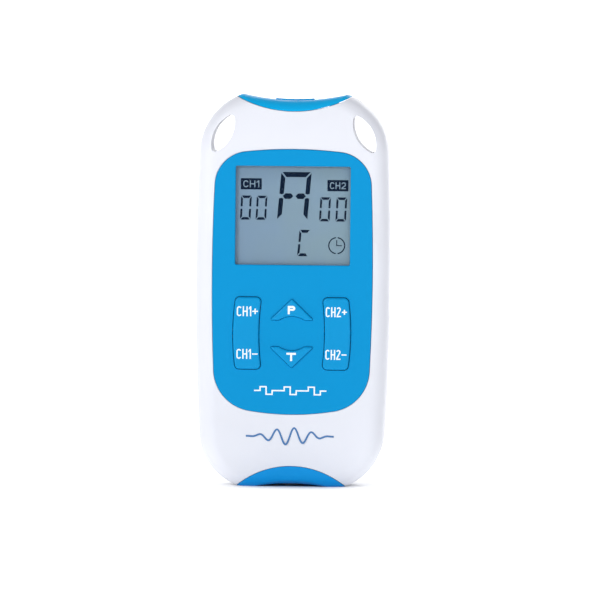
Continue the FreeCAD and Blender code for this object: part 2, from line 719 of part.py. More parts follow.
def keypad_mat():
    sheet = box(around(0, 20.0), (MAT_Y, BOARD_Y), around(KEY_ROW_Z, 13.6))
    sheet = sheet.makeFillet(2.0, edges_along_y(sheet))
    for x, z in dome_places():
        up = Vector(0, -1, 0)
        sheet = sheet.fuse(Part.makeCone(2.9, 1.9, MAT_Y - DOME_TOP_Y, Vector(x, MAT_Y, z), up))
        sheet = sheet.cut(Part.makeCone(2.4, 1.3, BOARD_Y - DOME_ROOF_Y, Vector(x, BOARD_Y, z), up))
    return sheet


def carbon_pills():
    """Conductive pills under the domes."""
    return Part.makeCompound([rod_y(1.2, x, (DOME_ROOF_Y, DOME_ROOF_Y + 0.4), z) for x, z in dome_places()])


def key_contacts():
    """Gold contact pads on the board, one under each pill."""
    return Part.makeCompound([rod_y(1.5, x, (BOARD_Y - 0.05, BOARD_Y), z) for x, z in dome_places()])


def main_board():
    board = outline_prism(CASE, BOARD_INSET, (BOARD_Y, BOARD_BACK_Y))
    board = board.common(box(around(0, FAR), around(0, FAR), (BOARD_LOW_Z, BOARD_HIGH_Z)))
    for side in (-1, 1):
        board = board.cut(lanyard_leaf(side, SLOT_WALL + 0.4))
    for x, z in screw_places(CASE_SCREWS):
        board = board.cut(rod_y(SCREW_SHANK_R + 0.35, x, (BOARD_Y - 1, BOARD_BACK_Y + 1), z))
    for x, z in screw_places(BOARD_SCREWS):
        board = board.cut(rod_y(BOARD_SCREW_R + 0.2, x, (BOARD_Y - 1, BOARD_BACK_Y + 1), z))
    return board


def on_board(height):
    """Depth span of a part that stands on the board's back."""
    return (BOARD_BACK_Y, BOARD_BACK_Y + height)


def microcontroller():
    """Flat square package with eleven legs a side."""
    x0, z0 = CHIP_PLACE
    package = box(around(x0, CHIP_HALF), (BOARD_BACK_Y + 0.1, BOARD_BACK_Y + 1.5), around(z0, CHIP_HALF))
    legs = []
    for step in range(-5, 6):
        along = step * CHIP_PITCH
        for out in (-CHIP_HALF - 0.45, CHIP_HALF + 0.45):
            legs.append(box(around(x0 + out, 0.5), on_board(0.4), around(z0 + along, 0.16)))
            legs.append(box(around(x0 + along, 0.16), on_board(0.4), around(z0 + out, 0.5)))
    return fuse([package] + legs)


def transformer_cores():
    """Ferrite cores of the two output transformers: a frame with a centre limb."""
    cores = []
    for x, z in TRANSFORMER_PLACES:
        core = box(around(x, 6.5), around(TRANSFORMER_MID_Y, 2.4), around(z, 5.5))
        for side in (-1, 1):
            core = core.cut(box(around(x + side * 3.2, 1.6), around(TRANSFORMER_MID_Y, 4), around(z, 3.4)))
        cores.append(core)
    return Part.makeCompound(cores)


def transformer_coils():
    """Windings round each core's centre limb, on a bobbin that stands on the board."""
    coils = []
    for x, z in TRANSFORMER_PLACES:
        coil = box(around(x, 4.6), around(TRANSFORMER_MID_Y, 4.4), around(z, 3.3))
        limb = box(around(x, 1.65), around(TRANSFORMER_MID_Y, 2.45), around(z, 4))
        coils.append(coil.cut(limb))
    return Part.makeCompound(coils)


def storage_capacitors():
    """Can capacitors with a rounded top rim."""
    cans = []
    for x, z in CAN_PLACES:
        can = rod_y(CAN_R, x, on_board(CAN_HEIGHT), z)
        cans.append(can.makeFillet(0.5, edges_at_y(can, BOARD_BACK_Y + CAN_HEIGHT)))
    return Part.makeCompound(cans)


def boost_inductor():
    """Drum core with a waist."""
    x, z = INDUCTOR_PLACE
    waist_y = (BOARD_BACK_Y + 1.0, BOARD_BACK_Y + 3.5)
    waist = rod_y(4.1, x, waist_y, z).cut(rod_y(3.1, x, waist_y, z))
    return rod_y(4.0, x, on_board(4.5), z).cut(waist)


def crystal():
    """Low metal can with round ends."""
    x, z = CRYSTAL_PLACE
    can = box(around(x, 5.6), on_board(3.4), around(z, 2.3))
    return can.makeFillet(2.2, edges_along_y(can))


def buzzer():
    """Round sounder with a hole in its top."""
    x, z = BUZZER_PLACE
    return rod_y(BUZZER_R, x, on_board(4.2), z).cut(rod_y(0.9, x, (BOARD_BACK_Y + 3, BOARD_BACK_Y + 5), z))


def output_transistors():
    """Power transistors with three legs and a tab."""
    bodies = []
    for x, z in TRANSISTOR_PLACES:
        package = box(around(x, 2.2), (BOARD_BACK_Y + 0.1, BOARD_BACK_Y + 1.7), around(z, 1.2))
        legs = [box(around(x + dx, 0.35), on_board(0.4), around(z - 1.5, 0.4)) for dx in (-1.5, 0, 1.5)]
        legs.append(box(around(x, 1.5), on_board(0.4), around(z + 1.5, 0.4)))
        bodies.append(fuse([package] + legs))
    return Part.makeCompound(bodies)


def chip_resistors():
    """Small surface parts beside the processor."""
    chips = [box(around(x, 0.6), on_board(0.5), around(z, 0.9)) for x, z in RESISTOR_PLACES]
    return Part.makeCompound(chips)


# Batteries

def battery_cell(side):
    """AA cell: the left one stands with its nub up, the right one with its nub down."""
    body_low = BAY_TOP_CONTACT_Z - CELL_NUB - CELL_BODY if side < 0 else BAY_BOTTOM_CONTACT_Z + CELL_NUB
    body = rod_z(CELL_R, side * CELL_X, CELL_Y, (body_low, body_low + CELL_BODY))
    ends = [e for e in body.Edges if e.BoundBox.ZLength < 1e-6]
    body = body.makeFillet(0.6, ends)
    nub_z = (body_low + CELL_BODY - 0.5, body_low + CELL_BODY + CELL_NUB)
    if side > 0:
        nub_z = (body_low - CELL_NUB, body_low + 0.5)
    return body.fuse(rod_z(CELL_NUB_R, side * CELL_X, CELL_Y, nub_z))


def cone_spring(wire_r, wide_r, narrow_r, height, turns):
    """Round-wire spring that narrows upwards from z = 0, as tall as height."""
    rise = height - 2 * wire_r
    taper = -math.degrees(math.atan2(wide_r - narrow_r, rise))
    helix = Part.makeHelix(rise / turns, rise, wide_r, taper)
    start = Vector(wide_r, 0, 0)
    circle = Part.Wire(Part.makeCircle(wire_r, start, Vector(0, 1, 0)))
    spring = Part.Wire(helix).makePipeShell([circle], True, True)
    spring.translate(Vector(0, 0, wire_r))
    return spring


def battery_springs():
    """Cone springs at the flat ends of the cells."""
    height = BAY_TOP_CONTACT_Z - BAY_BOTTOM_CONTACT_Z - CELL_BODY - CELL_NUB
    upright = cone_spring(0.35, 4.6, 2.9, height, 3)
    hanging = upright.mirror(Vector(0, 0, 0), Vector(0, 0, 1))
    upright.translate(Vector(-CELL_X, CELL_Y, BAY_BOTTOM_CONTACT_Z))
    hanging.translate(Vector(CELL_X, CELL_Y, BAY_TOP_CONTACT_Z))
    return Part.makeCompound([upright, hanging])


def battery_link_plate():
    """Plate at the bottom of the bay that joins the two cells in series."""
    plate = box(around(0, 13.0), around(CELL_Y, 5.5), (BAY_LOW_Z, BAY_BOTTOM_CONTACT_Z))
    return plate.makeFillet(2.0, edges_along_z(plate))


def battery_terminals():
    """Two plates at the top of the bay, each with a tab that reaches the board."""
    plates = []
    for x in (-CELL_X, CELL_X):
        z = (BAY_TOP_CONTACT_Z, BAY_HIGH_Z)
        plate = box(around(x, 5.5), (BAY_FRONT_Y + 0.4, CELL_Y + 5.5), z)
        tab = box(around(x, 1.4), (BOARD_BACK_Y, BAY_FRONT_Y + 1), z)
        plates.append(plate.fuse(tab))
    return Part.makeCompound(plates)


def battery_door():
    """Door cut from the back wall, with a hinge barrel along its top edge."""
    skin = envelope(0).cut(envelope(DOOR_THICK))
    plate = skin.common(box(around(0, DOOR_HALF_X), (HINGE_Y - 3, BACK_Y + 1), (DOOR_LOW_Z, HINGE_Z)))
    low_corners = [e for e in edges_along_y(plate) if e.BoundBox.ZMax < DOOR_LOW_Z + 0.1]
    plate = plate.makeFillet(1.5, low_corners)
    barrel = rod_x(HINGE_R, around(0, DOOR_HALF_X), HINGE_Y, HINGE_Z)
    stubs = rod_x(HINGE_STUB_R, around(0, DOOR_HALF_X + 1.2), HINGE_Y, HINGE_Z)
    door = fuse([plate, barrel, stubs]).cut(thumb_notch())
    for row in range(5):
        groove = rod_x(1.0, around(0, 7.0 - 0.7 * row), BACK_Y + 0.65, 19.0 + 2.0 * row)
        door = door.cut(groove)
    return door


# Output sockets

def output_socket(side):
    """Round housing with a deep well, and a foot that reaches the board."""
    x = side * SOCKET_X
    body = rod_z(SOCKET_R, x, SEAM_Y, (SOCKET_BASE_Z, SOCKET_MOUTH_Z))
    foot = box(around(x, SOCKET_FOOT_HALF_X), (BOARD_BACK_Y, SEAM_Y), (SOCKET_BASE_Z, SOCKET_BASE_Z + 2.0))
    housing = fuse([body, foot])
    housing = housing.cut(rod_z(SOCKET_WELL_R, x, SEAM_Y, (SOCKET_FLOOR_Z, SOCKET_MOUTH_Z + 1)))
    housing = housing.cut(rod_z(PIN_ROOT_R, x, SEAM_Y, (SOCKET_BASE_Z - 1, SOCKET_FLOOR_Z + 1)))
    lip = [e for e in housing.Edges if e.BoundBox.ZMin > SOCKET_MOUTH_Z - 0.01]
    return housing.makeFillet(0.25, lip)


def socket_pins():
    """Centre pins, with rounded tips and solder tails."""
    pins = []
    for x in (-SOCKET_X, SOCKET_X):
        pin = rod_z(PIN_R, x, SEAM_Y, (PIN_LOW_Z, PIN_TOP_Z))
        tip = [e for e in pin.Edges if e.BoundBox.ZMin > PIN_TOP_Z - 0.01]
        root = rod_z(PIN_ROOT_R, x, SEAM_Y, (SOCKET_BASE_Z, PIN_LOW_Z))
        pin = pin.makeFillet(PIN_TIP_ROUND, tip).fuse(root)
        tail = box(around(x, 0.35), (BOARD_BACK_Y, SEAM_Y), (SOCKET_BASE_Z - 0.6, SOCKET_BASE_Z))
        pins.append(pin.fuse(tail))
    return Part.makeCompound(pins)


def socket_sleeves():
    """Outer contacts that line the wells."""
    sleeves = []
    for x in (-SOCKET_X, SOCKET_X):
        z = (SOCKET_FLOOR_Z, SOCKET_MOUTH_Z - 1.6)
        sleeve = rod_z(SOCKET_WELL_R, x, SEAM_Y, z)
        sleeves.append(sleeve.cut(rod_z(SOCKET_WELL_R - SLEEVE_THICK, x, SEAM_Y, z)))
    return Part.makeCompound(sleeves)


# Belt clip

def belt_clip():
    """Lever with a thumb tab above its pivot and a hooked tongue below it."""
    def at(x, z):
        return Vector(x, CLIP_INNER_Y, z)

    low, high = CLIP_LOW_Z, CLIP_HIGH_Z
    half = [at(0, low), at(8.5, low), at(9.5, 90.0), at(11.0, 101.0), at(11.0, high), at(0, high)]
    outline = half + [Vector(-p.x, p.y, p.z) for p in reversed(half[1:-1])] + [half[0]]
    arm = Part.Face(Part.makePolygon(outline)).extrude(Vector(0, CLIP_OUTER_Y - CLIP_INNER_Y, 0))
    corners = edges_along_y(arm)
    tongue_corners = [e for e in corners if e.BoundBox.ZMax < low + 1 and abs(e.BoundBox.XMax) > 1]
    tab_corners = [e for e in corners if e.BoundBox.ZMin > high - 1 and abs(e.BoundBox.XMax) > 1]
    arm = arm.makeFillet(4.0, tongue_corners + tab_corners)
    arm = arm.makeFillet(0.6, edges_at_y(arm, CLIP_OUTER_Y))
    hook = rod_x(1.7, around(0, 6.0), CLIP_INNER_Y - 1.3, low + 2.6)
    hook = hook.fuse(box(around(0, 6.0), (CLIP_INNER_Y - 1.3, CLIP_INNER_Y + 0.3), around(low + 2.6, 1.7)))
    parts = [arm, hook]
    for side in (-1, 1):
        x = sorted((side * CLIP_EAR_X[0], side * CLIP_EAR_X[1]))
        parts.append(rod_x(CLIP_KNUCKLE_R, x, CLIP_PIVOT_Y, CLIP_PIVOT_Z))
        parts.append(box(x, (CLIP_PIVOT_Y, CLIP_INNER_Y + 0.3), around(CLIP_PIVOT_Z, CLIP_KNUCKLE_R)))
    for row in range(4):
        parts.append(rod_x(0.5, around(0, 7.0), CLIP_OUTER_Y - 0.1, 105.5 + 1.7 * row))
    return fuse(parts).cut(rod_x(CLIP_PIN_R + 0.06, around(0, 12), CLIP_PIVOT_Y, CLIP_PIVOT_Z))


def clip_hinge_pin():
    reach = CLIP_LUG_X[1] + 0.2
    pin = rod_x(CLIP_PIN_R, around(0, reach), CLIP_PIVOT_Y, CLIP_PIVOT_Z)
    return pin.makeChamfer(0.25, [e for e in pin.Edges if e.BoundBox.XLength < 1e-6])


def clip_spring():
    """Torsion spring on the pin; both legs run up under the thumb tab and push it off the back."""
    width = SPRING_TURNS * SPRING_PITCH
    helix = Part.makeHelix(SPRING_PITCH, width, SPRING_COIL_R)
    circle = Part.Wire(Part.makeCircle(SPRING_WIRE_R, Vector(SPRING_COIL_R, 0, 0), Vector(0, 1, 0)))
    coil = Part.Wire(helix).makePipeShell([circle], True, True)
    coil.rotate(Vector(0, 0, 0), Vector(0, 1, 0), 90)
    coil.rotate(Vector(0, 0, 0), Vector(1, 0, 0), -90)
    coil.translate(Vector(-width / 2, CLIP_PIVOT_Y, CLIP_PIVOT_Z))
    legs = []
    for side in (-1, 1):
        y = CLIP_PIVOT_Y + side * SPRING_COIL_R
        legs.append(rod_z(SPRING_WIRE_R, side * width / 2, y, (CLIP_PIVOT_Z, SPRING_LEG_TOP_Z)))
    return coil.multiFuse(legs)


# Screws

def cross_recess(x, z, y):
    """Cross-shaped driver recess that opens towards the back at depth y."""
    depth = (y - 0.8, y + 1)
    level = box(around(x, 1.2), depth, around(z, 0.3))
    upright = box(around(x, 0.3), depth, around(z, 1.2))
    return level.fuse(upright)


def screw(x, z, seat_y, head_r, head_h, shank_r):
    """Pan-head screw driven in from the back."""
    head = rod_y(head_r, x, (seat_y, seat_y + head_h), z)
    head = head.makeFillet(0.5, edges_at_y(head, seat_y + head_h))
    shank = rod_y(shank_r, x, (SCREW_TIP_Y, seat_y + 0.2), z)
    return head.fuse(shank).cut(cross_recess(x, z, seat_y + head_h))


def case_screws():
    size = (SCREW_SEAT_Y, SCREW_HEAD_R, SCREW_HEAD_H, SCREW_SHANK_R)
    return Part.makeCompound([screw(x, z, *size) for x, z in screw_places(CASE_SCREWS)])


def board_screws():
    size = (BOARD_BACK_Y, 2 * BOARD_SCREW_R, 1.2, BOARD_SCREW_R)
    return Part.makeCompound([screw(x, z, *size) for x, z in screw_places(BOARD_SCREWS)])


def all_nodes():
    """Every node's name and shape."""
    block = finished_block()
    walls = hollow_case(block)
    return {
        "front_shell": front_shell(walls),
        "rear_shell": rear_shell(walls),
        "fascia": fascia(),
        "top_end_cap": top_end_cap(block),
        "bottom_end_cap": bottom_end_cap(block),
        "ch1_rocker_key": rocker_key(-1),
        "ch2_rocker_key": rocker_key(1),
        "program_key": arrow_key(1),
        "timer_key": arrow_key(-1),
        "display_lens": display_lens(),
        "lcd_cell": lcd_cell(),
        "lcd_frame": lcd_frame(),
        "zebra_strips": zebra_strips(),
        "keypad_mat": keypad_mat(),
        "carbon_pills": carbon_pills(),
        "key_contacts": key_contacts(),
        "main_board": main_board(),
        "microcontroller": microcontroller(),
        "transformer_cores": transformer_cores(),
        "transformer_coils": transformer_coils(),
        "storage_capacitors": storage_capacitors(),
        "boost_inductor": boost_inductor(),
        "crystal": crystal(),
        "buzzer": buzzer(),
        "output_transistors": output_transistors(),
        "chip_resistors": chip_resistors(),
        "battery_cell_left": battery_cell(-1),
        "battery_cell_right": battery_cell(1),
        "battery_springs": battery_springs(),
        "battery_link_plate": battery_link_plate(),
        "battery_terminals": battery_terminals(),
        "battery_door": battery_door(),
        "output_socket_ch1": output_socket(-1),
        "output_socket_ch2": output_socket(1),
        "socket_pins": socket_pins(),
        "socket_sleeves": socket_sleeves(),
        "belt_clip": belt_clip(),
        "clip_hinge_pin": clip_hinge_pin(),
        "clip_spring": clip_spring(),
        "case_screws": case_screws(),
        "board_screws": board_screws(),
    }


def main():
    os.makedirs("parts", exist_ok=True)
    for name, shape in all_nodes().items():
        shape.exportStep("parts/" + name + ".step")
        print(name, "valid" if shape.isValid() else "INVALID", len(shape.Solids), round(shape.Volume, 2))


main()
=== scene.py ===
import math

import bmesh
import bpy
from mathutils import Matrix, Vector


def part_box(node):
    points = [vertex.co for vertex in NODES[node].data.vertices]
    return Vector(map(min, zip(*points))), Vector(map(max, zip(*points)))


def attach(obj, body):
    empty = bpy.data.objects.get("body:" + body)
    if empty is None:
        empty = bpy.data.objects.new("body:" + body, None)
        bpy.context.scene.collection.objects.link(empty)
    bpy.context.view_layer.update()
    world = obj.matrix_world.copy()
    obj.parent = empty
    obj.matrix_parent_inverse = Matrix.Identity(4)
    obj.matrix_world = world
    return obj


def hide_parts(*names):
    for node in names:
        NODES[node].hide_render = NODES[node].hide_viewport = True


# Looks of a handheld two-channel nerve stimulator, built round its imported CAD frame.
# Metres; the front faces -Y, and the unit stands on z = 0.

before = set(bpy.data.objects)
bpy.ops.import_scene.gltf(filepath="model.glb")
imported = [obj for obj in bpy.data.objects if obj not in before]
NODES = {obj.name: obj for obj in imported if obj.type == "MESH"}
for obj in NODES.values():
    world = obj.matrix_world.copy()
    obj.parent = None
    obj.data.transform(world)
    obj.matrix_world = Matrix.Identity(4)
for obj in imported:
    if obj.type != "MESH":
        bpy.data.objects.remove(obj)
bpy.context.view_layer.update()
MM = 0.001

# Places on the display, in millimetres from its middle
LEVEL_PLACES = ((-14.5, 2.3), (-9.7, 2.3), (9.8, 2.0), (14.8, 2.0))
MODE_PLACE = (0.35, 5.95)
SETTING_PLACE = (3.4, -8.4)
CLOCK_PLACE = (13.5, -9.1)
TAG_PLACES = (("CH1", -12.9, 9.6), ("CH2", 13.7, 9.3))

# The display's figures: size, width of the flat and of the upright bars, gaps at the corners and the middle
LEVEL_STYLE = ((3.25 * MM, 7.4 * MM), 0.78 * MM, 0.6 * MM, 0.2 * MM, 0.45 * MM)
MODE_STYLE = ((9.3 * MM, 14.8 * MM), 1.55 * MM, 1.35 * MM, 0.32 * MM, 0.75 * MM)
SETTING_STYLE = ((3.4 * MM, 8.1 * MM), 0.9 * MM, 0.68 * MM, 0.24 * MM, 0.45 * MM)
LEVEL_SLANT = 0.05
LETTER_SLANT = 0.085
CLOCK_RADIUS = 2.62 * MM
CLOCK_LINE = 0.36 * MM
CLOCK_GAP_DEGREES = 6
HAND_LINE = 0.28 * MM
LONG_HAND = 1.7 * MM
SHORT_HAND = 1.6 * MM
TAG_HALF = (3.22 * MM, 1.72 * MM)
TAG_LETTERS = (4.9 * MM, 2.1 * MM)
TAG_LINE = 0.3 * MM
FILM = 0.02 * MM

# Battery cells: heights of the nub, the coloured band, the dish in the flat end, the jacket's lip and
# round at each end, the recess round the nub, and the nub's edge. A sign stands SIGN_RISE from an end.
CELL_NUB = 1.2 * MM
CELL_BAND = 13.0 * MM
CELL_DISH = 0.3 * MM
CELL_LIP = 0.15 * MM
CELL_ROUND = 0.8 * MM
CELL_RECESS = 0.4 * MM
NUB_EDGE = 0.35 * MM
SIGN_RISE = 5 * MM
SIGN_REACH = 1.7 * MM
SIGN_HALF = 0.4 * MM
SIGN_RUNS = 12

# Printing: how far ink stands out, and the least share that a mitred corner is divided by
INK = 0.03 * MM
MITRE_LIMIT = 0.35

# Rocker labels: each sign, its word in the piece's name, and its rise above the key's middle in millimetres
ROCKER_LABEL_RISES = (("+", "up", 6.7), ("-", "down", -6.4))
ROCKER_LABEL_X = 13.65 * MM
ROCKER_LABEL_SIZE = (6.5 * MM, 3.05 * MM)
ROCKER_LABEL_LINE = 0.4 * MM

# Arrow labels: each letter, its node and body, and its rise and width in millimetres
ARROW_LABELS = (
    ("P", "program_key", "program_button", -0.1, 2.3),
    ("T", "timer_key", "timer_button", 0.1, 2.9),
)
ARROW_LABEL_X = -0.1 * MM
ARROW_LABEL_HEIGHT = 2.55 * MM
ARROW_LABEL_LINE = 0.62 * MM

# Wave marks: the pulse train above the fascia's lower edge, and the wave below it
MARK_X = -0.3 * MM
PULSE_STEP = 1.85 * MM
PULSE_HEIGHT = 1.15 * MM
PULSE_COUNT = 3
PULSE_LINE = 0.42 * MM
PULSE_RISE = 7.3 * MM
WAVE_HALF = 13.5 * MM
WAVE_HEIGHT = 2.6 * MM
WAVE_COUNT = 5
WAVE_LINE = 0.55 * MM
WAVE_DROP = 6.7 * MM


# Colours, as they look on a screen

WHITE_SHELL = (228, 230, 238)
CLIP_WHITE = (222, 224, 232)
FASCIA_BLUE = (0, 146, 207)
KEY_BLUE = (0, 148, 209)
# The top cap's blue is lighter than the bottom cap's: the caps' blue with painted light from above
TOP_BLUE_PAINTED_LIGHT = (0, 170, 230)
BOTTOM_BLUE = (0, 148, 222)
LCD_GREY = (136, 163, 186)
LCD_GREEN = (146, 172, 180)
LCD_INK = (0, 22, 48)
LCD_CLOUD = (138, 166, 196)
LCD_SHADOW = (104, 128, 148)
LCD_GRAIN = (98, 120, 136)
LCD_GAP = (142, 168, 186)
PRINT_WHITE = (244, 250, 255)
PRINT_BLUE = (74, 122, 176)
MASK_GREEN = (14, 84, 44)
TRACK_GREEN = (40, 120, 66)
WEAVE_GREEN = (10, 60, 34)
# Wire colours: painted shade between the winding's turns, painted light on their crests
WIRE_PAINTED_SHADE = (112, 48, 20)
WIRE_PAINTED_LIGHT = (205, 118, 62)


def linear(colour):
    """A screen colour of 0 to 255 as scene-linear RGBA."""
    def channel(value):
        value = value / 255
        return value / 12.92 if value <= 0.04045 else ((value + 0.055) / 1.055) ** 2.4

    return tuple(channel(v) for v in colour) + (1.0,)


def shade(colour, factor):
    """A linear colour made lighter or darker."""
    return tuple(min(1.0, c * factor) for c in colour[:3]) + (1.0,)


# Materials

class Shader:
    """A new material with short ways to add and join its nodes."""

    def __init__(self, name):
        self.material = bpy.data.materials.new(name)
        self.material.use_nodes = True
        self.tree = self.material.node_tree
        self.principled = self.tree.nodes["Principled BSDF"]
        self.place = self.node("ShaderNodeTexCoord").outputs["Object"]

    def node(self, kind, **settings):
        """A new node of a kind, with its settings."""
        made = self.tree.nodes.new(kind)
        for key, value in settings.items():
            setattr(made, key, value)
        return made

    def join(self, source, target):
        """A link from an output to an input."""
        self.tree.links.new(source, target)

    def set(self, **values):
        """Plain values on the shader's own sockets."""
        for key, value in values.items():
            self.principled.inputs[key.replace("_", " ")].default_value = value

    def noise(self, size, detail=2.0, roughness=0.5, stretch=(1, 1, 1)):
        """Noise whose features are about size metres across."""
        mapping = self.node("ShaderNodeMapping")
        mapping.inputs["Scale"].default_value = stretch
        self.join(self.place, mapping.inputs["Vector"])
        made = self.node("ShaderNodeTexNoise")
        made.inputs["Scale"].default_value = 1 / size
        made.inputs["Detail"].default_value = detail
        made.inputs["Roughness"].default_value = roughness
        self.join(mapping.outputs["Vector"], made.inputs["Vector"])
        return made.outputs["Fac"]

    def ranged(self, value, low, high, source_low=0.3, source_high=0.7):
        """A value moved from one range to another."""
        made = self.node("ShaderNodeMapRange")
        made.inputs["From Min"].default_value = source_low
        made.inputs["From Max"].default_value = source_high
        made.inputs["To Min"].default_value = low
        made.inputs["To Max"].default_value = high
        self.join(value, made.inputs["Value"])
        return made.outputs["Result"]

    def mixed(self, factor, first, second):
        """Two colours, sockets or plain, mixed by a factor."""
        made = self.node("ShaderNodeMix", data_type="RGBA")
        for value, socket in ((factor, made.inputs[0]), (first, made.inputs[6]), (second, made.inputs[7])):
            if isinstance(value, bpy.types.NodeSocket):
                self.join(value, socket)
            else:
                socket.default_value = value
        return made.outputs[2]

    def bump(self, height, depth, below=None):
        """Bump of so many metres, over another normal if one is given."""
        made = self.node("ShaderNodeBump")
        made.inputs["Strength"].default_value = 1.0
        made.inputs["Distance"].default_value = depth
        self.join(height, made.inputs["Height"])
        if below is not None:
            self.join(below, made.inputs["Normal"])
        return made.outputs["Normal"]

    def paint(self, colour=None, roughness=None, normal=None):
        """Joins what is given to the shader and returns the material."""
        for socket, name in ((colour, "Base Color"), (roughness, "Roughness"), (normal, "Normal")):
            if socket is not None:
                self.join(socket, self.principled.inputs[name])
        return self.material


def moulded_plastic(name, colour, gloss, shine=0.45, grain=0.00035, mottle=0.02):
    """Injection-moulded plastic: spark-eroded grain, slow flow ripple and faint handling marks."""
    shader = Shader(name)
    base = linear(colour)
    flow = shader.noise(0.03, detail=3.0)
    tint = shader.mixed(shader.ranged(flow, 0.0, 1.0), shade(base, 1 - mottle), shade(base, 1 + mottle))
    fine = shader.noise(grain, detail=3.0, roughness=0.6)
    ripple = shader.noise(0.018, detail=1.0)
    handled = shader.noise(0.006, detail=4.0, roughness=0.65)
    rough = shader.ranged(handled, gloss - 0.05, gloss + 0.07)
    normal = shader.bump(fine, 0.000006, shader.bump(ripple, 0.00008))
    shader.set(Specular_IOR_Level=shine, IOR=1.52)
    return shader.paint(tint, rough, normal)


def metal(name, colour, gloss, brushed=(1, 1, 1), mottle=0.08):
    """Plated or drawn metal, whose fine lines lie across the axis that brushed stretches most."""
    shader = Shader(name)
    base = linear(colour)
    patches = shader.noise(0.004, detail=3.0)
    tint = shader.mixed(shader.ranged(patches, 0.0, 1.0), shade(base, 1 - mottle), base)
    lines = shader.noise(0.0005, detail=3.0, stretch=brushed)
    shader.set(Metallic=1.0)
    return shader.paint(tint, shader.ranged(lines, gloss - 0.06, gloss + 0.12), shader.bump(lines, 0.000004))


def rubbery(name, colour, gloss=0.6):
    """Silicone or filled elastomer with a dusty, soft finish."""
    shader = Shader(name)
    base = linear(colour)
    dust = shader.noise(0.002, detail=4.0)
    tint = shader.mixed(shader.ranged(dust, 0.0, 1.0), shade(base, 0.85), shade(base, 1.15))
    skin = shader.noise(0.0002, detail=2.0)
    return shader.paint(tint, shader.ranged(dust, gloss - 0.08, gloss + 0.1), shader.bump(skin, 0.000008))


def display_glass():
    """Reflective display: blue grey, greener to the right, shaded under the window's upper edge."""
    shader = Shader("display_glass")
    low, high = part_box("display_lens")
    split = shader.node("ShaderNodeSeparateXYZ")
    shader.join(shader.place, split.inputs["Vector"])
    across = shader.ranged(split.outputs["X"], 0.0, 1.0, low.x, high.x)
    tint = shader.mixed(across, linear(LCD_GREY), linear(LCD_GREEN))
    cloud = shader.noise(0.012, detail=2.0)
    tint = shader.mixed(shader.ranged(cloud, 0.0, 0.5), tint, linear(LCD_CLOUD))
    shaded = shader.ranged(split.outputs["Z"], 0.0, 0.30, high.z - 0.0075, high.z - 0.0015)
    tint = shader.mixed(shaded, tint, linear(LCD_SHADOW))
    grid = shader.noise(0.00012, detail=1.0)
    tint = shader.mixed(shader.ranged(grid, 0.0, 0.06), tint, linear(LCD_GRAIN))
    shader.set(Specular_IOR_Level=0.15)
    return shader.paint(tint, shader.ranged(grid, 0.34, 0.42), shader.bump(grid, 0.000002))


def clear_lens():
    """Polished acrylic window: see-through, with a faint clear reflection."""
    shader = Shader("clear_lens")
    wipe = shader.noise(0.004, detail=4.0, stretch=(0.3, 1, 1))
    shader.set(Base_Color=(0.01, 0.03, 0.05, 1.0), Alpha=0.06, Specular_IOR_Level=0.22, IOR=1.49)
    shader.material.surface_render_method = "BLENDED"
    return shader.paint(None, shader.ranged(wipe, 0.03, 0.10), shader.bump(wipe, 0.000002))


def printed_ink(name, colour, gloss=0.4, shine=0.4):
    """Screen-printed ink with a slightly uneven film."""
    shader = Shader(name)
    base = linear(colour)
    film = shader.noise(0.0006, detail=3.0)
    tint = shader.mixed(shader.ranged(film, 0.0, 1.0), shade(base, 0.94), shade(base, 1.03))
    shader.set(Specular_IOR_Level=shine)
    return shader.paint(tint, shader.ranged(film, gloss - 0.06, gloss + 0.08), shader.bump(film, 0.000006))


def circuit_board():
    """Green solder mask with copper tracks showing through, and the glass weave under it."""
    shader = Shader("circuit_board")
    tracks = shader.node("ShaderNodeTexVoronoi", distance="MANHATTAN", feature="DISTANCE_TO_EDGE")
    tracks.inputs["Scale"].default_value = 260
    tracks.inputs["Randomness"].default_value = 0.35
    shader.join(shader.place, tracks.inputs["Vector"])
    copper = shader.ranged(tracks.outputs["Distance"], 0.0, 1.0, 0.05, 0.08)
    mask = shader.mixed(copper, linear(TRACK_GREEN), linear(MASK_GREEN))
    weave = shader.noise(0.0007, detail=1.0, stretch=(1, 1, 3))
    mask = shader.mixed(shader.ranged(weave, 0.0, 0.25), mask, linear(WEAVE_GREEN))
    shader.set(Coat_Weight=0.6)
    return shader.paint(mask, shader.ranged(weave, 0.25, 0.35), shader.bump(copper, 0.00003))


def winding():
    """Enamelled copper wire, wound in even turns, with painted shade between the turns and painted light on
    their crests.
    """
    shader = Shader("copper_winding")
    turns = shader.node("ShaderNodeTexWave", bands_direction="Z", wave_profile="SIN")
    turns.inputs["Scale"].default_value = 700
    turns.inputs["Distortion"].default_value = 0.4
    shader.join(shader.place, turns.inputs["Vector"])
    crest = turns.outputs["Fac"]
    # Painted shade between the turns, painted light on their crests
    tint = shader.mixed(crest, linear(WIRE_PAINTED_SHADE), linear(WIRE_PAINTED_LIGHT))
    shader.set(Metallic=0.6, Coat_Weight=0.5)
    return shader.paint(tint, shader.ranged(crest, 0.25, 0.4), shader.bump(crest, 0.0001))


def cell_jacket(name, colour):
    """Battery jacket: printed film, shrunk on."""
    shader = Shader(name)
    base = linear(colour)
    film = shader.noise(0.004, detail=3.0, stretch=(1, 1, 0.2))
    tint = shader.mixed(shader.ranged(film, 0.0, 1.0), shade(base, 0.85), shade(base, 1.15))
    shader.set(Specular_IOR_Level=0.6, Coat_Weight=0.3)
    fine = shader.noise(0.0008, detail=2.0)
    return shader.paint(tint, shader.ranged(fine, 0.24, 0.36), shader.bump(film, 0.00005))


